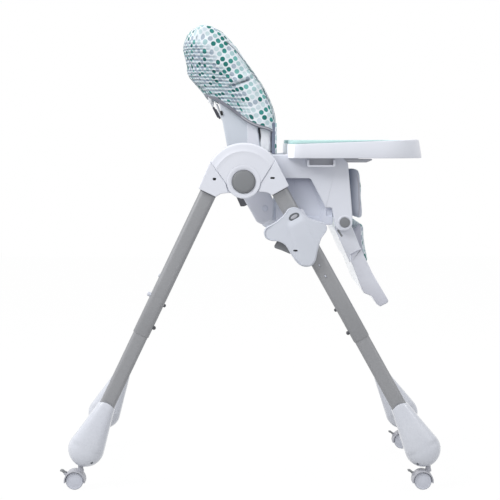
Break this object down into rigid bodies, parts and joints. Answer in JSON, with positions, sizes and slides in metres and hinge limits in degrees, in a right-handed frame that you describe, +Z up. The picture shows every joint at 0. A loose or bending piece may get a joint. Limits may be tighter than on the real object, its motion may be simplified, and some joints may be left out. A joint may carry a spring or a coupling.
{
  "type": "baby high chair",
  "caption": "Folding baby high chair: tubular A-frame on casters, height-adjustable reclining padded seat, calf rest with foot plate, and sliding tray with lift-out insert.",
  "frame": {"origin": "on the floor under the middle of the chair's outer box", "axes": "+X towards the front of the chair, +Y towards the chair's left side, +Z up"},
  "size_m": [0.8652, 0.548, 1.0593],
  "materials": {
    "white_plastic": "satin moulded plastic, cool white",
    "painted_tube": "powder-coated steel tube, mid grey",
    "grey_plastic": "fine-grained moulded plastic, grey",
    "dark_plastic": "fine-grained moulded plastic, dark grey",
    "wheel_plastic": "moulded plastic, light grey",
    "mint_plastic": "smooth moulded plastic, pale mint",
    "fabric": "wipe-clean printed fabric, white with rows of dots",
    "webbing": "woven polyester webbing, grey",
    "steel": "plated steel"
  },
  "bodies": {
    "front_frame": {"front_leg_upper_R": "painted_tube", "front_leg_upper_L": "painted_tube", "front_leg_lower_R": "painted_tube", "front_leg_lower_L": "painted_tube", "front_foot_R": "white_plastic", "front_foot_L": "white_plastic", "front_crossbar": "painted_tube", "front_socket_R": "white_plastic", "front_socket_L": "white_plastic", "hub_cover_R": "white_plastic", "hub_cover_L": "white_plastic", "hub_axle_R": "steel", "hub_axle_L": "steel"},
    "rear_frame": {"rear_leg_upper_R": "painted_tube", "rear_leg_upper_L": "painted_tube", "rear_leg_lower_R": "painted_tube", "rear_leg_lower_L": "painted_tube", "rear_foot_R": "white_plastic", "rear_foot_L": "white_plastic", "rear_crossbar": "painted_tube", "rear_socket_R": "white_plastic", "rear_socket_L": "white_plastic", "tray_peg_R": "grey_plastic", "tray_peg_L": "grey_plastic"},
    "seat": {"seat_shell": "white_plastic", "side_arm_R": "white_plastic", "side_arm_L": "white_plastic", "slider_housing_R": "white_plastic", "slider_housing_L": "white_plastic", "slider_cover_R": "white_plastic", "slider_cover_L": "white_plastic", "seat_pad": "fabric", "lap_harness": "webbing"},
    "backrest": {"back_shell": "white_plastic", "back_cover": "fabric"},
    "recline_grip": {"recline_grip": "dark_plastic"},
    "calf_rest": {"calf_panel": "white_plastic", "calf_pad": "fabric"},
    "foot_plate": {"foot_plate": "white_plastic"},
    "tray": {"tray": "white_plastic"},
    "tray_insert": {"tray_insert": "mint_plastic"},
    "fold_button_R": {"fold_button_R": "grey_plastic"},
    "height_lever_R": {"height_lever_R": "grey_plastic"},
    "tray_latch_R": {"tray_latch_R": "white_plastic"},
    "front_caster_R": {"front_caster_R": "grey_plastic"},
    "front_wheels_R": {"front_wheels_R": "wheel_plastic"},
    "front_brake_R": {"front_brake_R": "grey_plastic"},
    "rear_caster_R": {"rear_caster_R": "grey_plastic"},
    "rear_wheels_R": {"rear_wheels_R": "wheel_plastic"},
    "rear_brake_R": {"rear_brake_R": "grey_plastic"},
    "fold_button_L": {"fold_button_L": "grey_plastic"},
    "height_lever_L": {"height_lever_L": "grey_plastic"},
    "tray_latch_L": {"tray_latch_L": "white_plastic"},
    "front_caster_L": {"front_caster_L": "grey_plastic"},
    "front_wheels_L": {"front_wheels_L": "wheel_plastic"},
    "front_brake_L": {"front_brake_L": "grey_plastic"},
    "rear_caster_L": {"rear_caster_L": "grey_plastic"},
    "rear_wheels_L": {"rear_wheels_L": "wheel_plastic"},
    "rear_brake_L": {"rear_brake_L": "grey_plastic"}
  },
  "joints": [
    {"name": "fold", "type": "hinge", "parent": "front_frame", "child": "rear_frame", "pos_m": [-0.01561, 0, 0.7], "axis": [0, -1, 0], "range_deg": [0, 50]},
    {"name": "seat_height", "type": "slide", "parent": "front_frame", "child": "seat", "axis": [0.4863, 0, -0.8738], "range_m": [0, 0.15]},
    {"name": "recline", "type": "hinge", "parent": "seat", "child": "backrest", "pos_m": [0.03339, 0, 0.636], "axis": [0, -1, 0], "range_deg": [0, 30]},
    {"name": "recline_grip_pull", "type": "slide", "parent": "backrest", "child": "recline_grip", "axis": [-0.6219, 0, 0.7831], "range_m": [0, 0.01], "stiffness_N_per_m": 400},
    {"name": "calf_rest_lift", "type": "hinge", "parent": "seat", "child": "calf_rest", "pos_m": [0.21469, 0, 0.6057], "axis": [0, -1, 0], "range_deg": [0, 57]},
    {"name": "foot_plate_slide", "type": "slide", "parent": "calf_rest", "child": "foot_plate", "axis": [0.3746, 0, -0.9272], "range_m": [0, 0.03]},
    {"name": "tray_slide", "type": "slide", "parent": "seat", "child": "tray", "axis": [1, 0, 0], "range_m": [-0.02, 0.06]},
    {"name": "tray_insert_lift", "type": "slide", "parent": "tray", "child": "tray_insert", "axis": [0, 0, 1], "range_m": [0, 0.06]},
    {"name": "fold_button_press_R", "type": "slide", "parent": "front_frame", "child": "fold_button_R", "axis": [0, 1, 0], "range_m": [0, 0.006], "stiffness_N_per_m": 800},
    {"name": "height_lever_squeeze_R", "type": "hinge", "parent": "seat", "child": "height_lever_R", "pos_m": [0.09422, -0.2475, 0.54483], "axis": [0, 1, 0], "range_deg": [0, 8], "stiffness_Nm_per_rad": 0.6},
    {"name": "tray_latch_pull_R", "type": "slide", "parent": "tray", "child": "tray_latch_R", "axis": [0, -1, 0], "range_m": [0, 0.008], "stiffness_N_per_m": 400},
    {"name": "front_swivel_R", "type": "hinge", "parent": "front_frame", "child": "front_caster_R", "pos_m": [0.40479, -0.245, 0.045], "axis": [0, 0, 1], "continuous": true},
    {"name": "front_roll_R", "type": "hinge", "parent": "front_caster_R", "child": "front_wheels_R", "pos_m": [0.39179, -0.245, 0.02], "axis": [0, 1, 0], "continuous": true},
    {"name": "front_brake_press_R", "type": "hinge", "parent": "front_caster_R", "child": "front_brake_R", "pos_m": [0.36979, -0.245, 0.0355], "axis": [0, -1, 0], "range_deg": [0, 10]},
    {"name": "rear_swivel_R", "type": "hinge", "parent": "rear_frame", "child": "rear_caster_R", "pos_m": [-0.38693, -0.245, 0.045], "axis": [0, 0, 1], "continuous": true},
    {"name": "rear_roll_R", "type": "hinge", "parent": "rear_caster_R", "child": "rear_wheels_R", "pos_m": [-0.39993, -0.245, 0.02], "axis": [0, 1, 0], "continuous": true},
    {"name": "rear_brake_press_R", "type": "hinge", "parent": "rear_caster_R", "child": "rear_brake_R", "pos_m": [-0.42193, -0.245, 0.0355], "axis": [0, -1, 0], "range_deg": [0, 10]},
    {"name": "fold_button_press_L", "type": "slide", "parent": "front_frame", "child": "fold_button_L", "axis": [0, -1, 0], "range_m": [0, 0.006], "stiffness_N_per_m": 800},
    {"name": "height_lever_squeeze_L", "type": "hinge", "parent": "seat", "child": "height_lever_L", "pos_m": [0.09422, 0.2475, 0.54483], "axis": [0, 1, 0], "range_deg": [0, 8], "stiffness_Nm_per_rad": 0.6},
    {"name": "tray_latch_pull_L", "type": "slide", "parent": "tray", "child": "tray_latch_L", "axis": [0, 1, 0], "range_m": [0, 0.008], "stiffness_N_per_m": 400},
    {"name": "front_swivel_L", "type": "hinge", "parent": "front_frame", "child": "front_caster_L", "pos_m": [0.40479, 0.245, 0.045], "axis": [0, 0, 1], "continuous": true},
    {"name": "front_roll_L", "type": "hinge", "parent": "front_caster_L", "child": "front_wheels_L", "pos_m": [0.39179, 0.245, 0.02], "axis": [0, 1, 0], "continuous": true},
    {"name": "front_brake_press_L", "type": "hinge", "parent": "front_caster_L", "child": "front_brake_L", "pos_m": [0.36979, 0.245, 0.0355], "axis": [0, -1, 0], "range_deg": [0, 10]},
    {"name": "rear_swivel_L", "type": "hinge", "parent": "rear_frame", "child": "rear_caster_L", "pos_m": [-0.38693, 0.245, 0.045], "axis": [0, 0, 1], "continuous": true},
    {"name": "rear_roll_L", "type": "hinge", "parent": "rear_caster_L", "child": "rear_wheels_L", "pos_m": [-0.39993, 0.245, 0.02], "axis": [0, 1, 0], "continuous": true},
    {"name": "rear_brake_press_L", "type": "hinge", "parent": "rear_caster_L", "child": "rear_brake_L", "pos_m": [-0.42193, 0.245, 0.0355], "axis": [0, -1, 0], "range_deg": [0, 10]}
  ]
}
